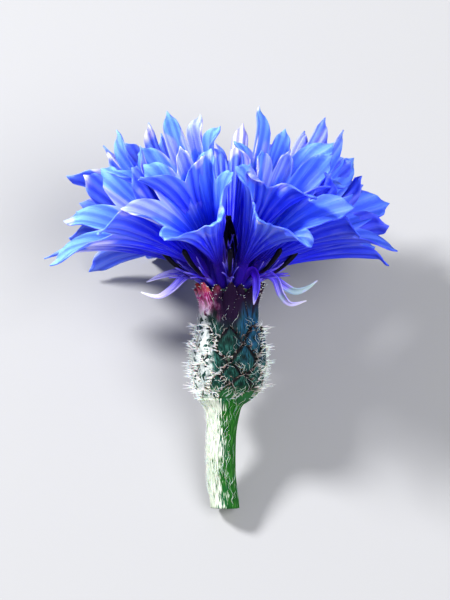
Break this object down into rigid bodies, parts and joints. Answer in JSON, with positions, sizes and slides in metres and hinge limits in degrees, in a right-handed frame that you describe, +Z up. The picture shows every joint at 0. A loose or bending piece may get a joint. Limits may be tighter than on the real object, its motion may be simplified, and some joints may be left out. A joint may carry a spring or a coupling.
{
  "type": "cut cornflower",
  "caption": "Single cornflower head on a short cut stem, lying on its back: trumpet ray florets with pointed lobes over an urn of toothed bracts.",
  "frame": {"origin": "on the surface that the flower lies on, under the middle of its box", "axes": "+Z up from the surface; +Y along it from the cut end of the stem to the head; +X to the flower's right, seen from above with the head away"},
  "size_m": [0.0444, 0.0502, 0.0353],
  "materials": {
    "stem": "ribbed green stem with white woolly hairs",
    "bract": "dark green bracts with silvery toothed edges",
    "ray_floret": "satin blue petals, paler at the tips",
    "disc_floret": "satin violet florets with dark anthers"
  },
  "bodies": {
    "root": {"stem": "stem", "involucre": "bract", "ray_florets": "ray_floret", "disc_florets": "disc_floret"}
  },
  "joints": []
}
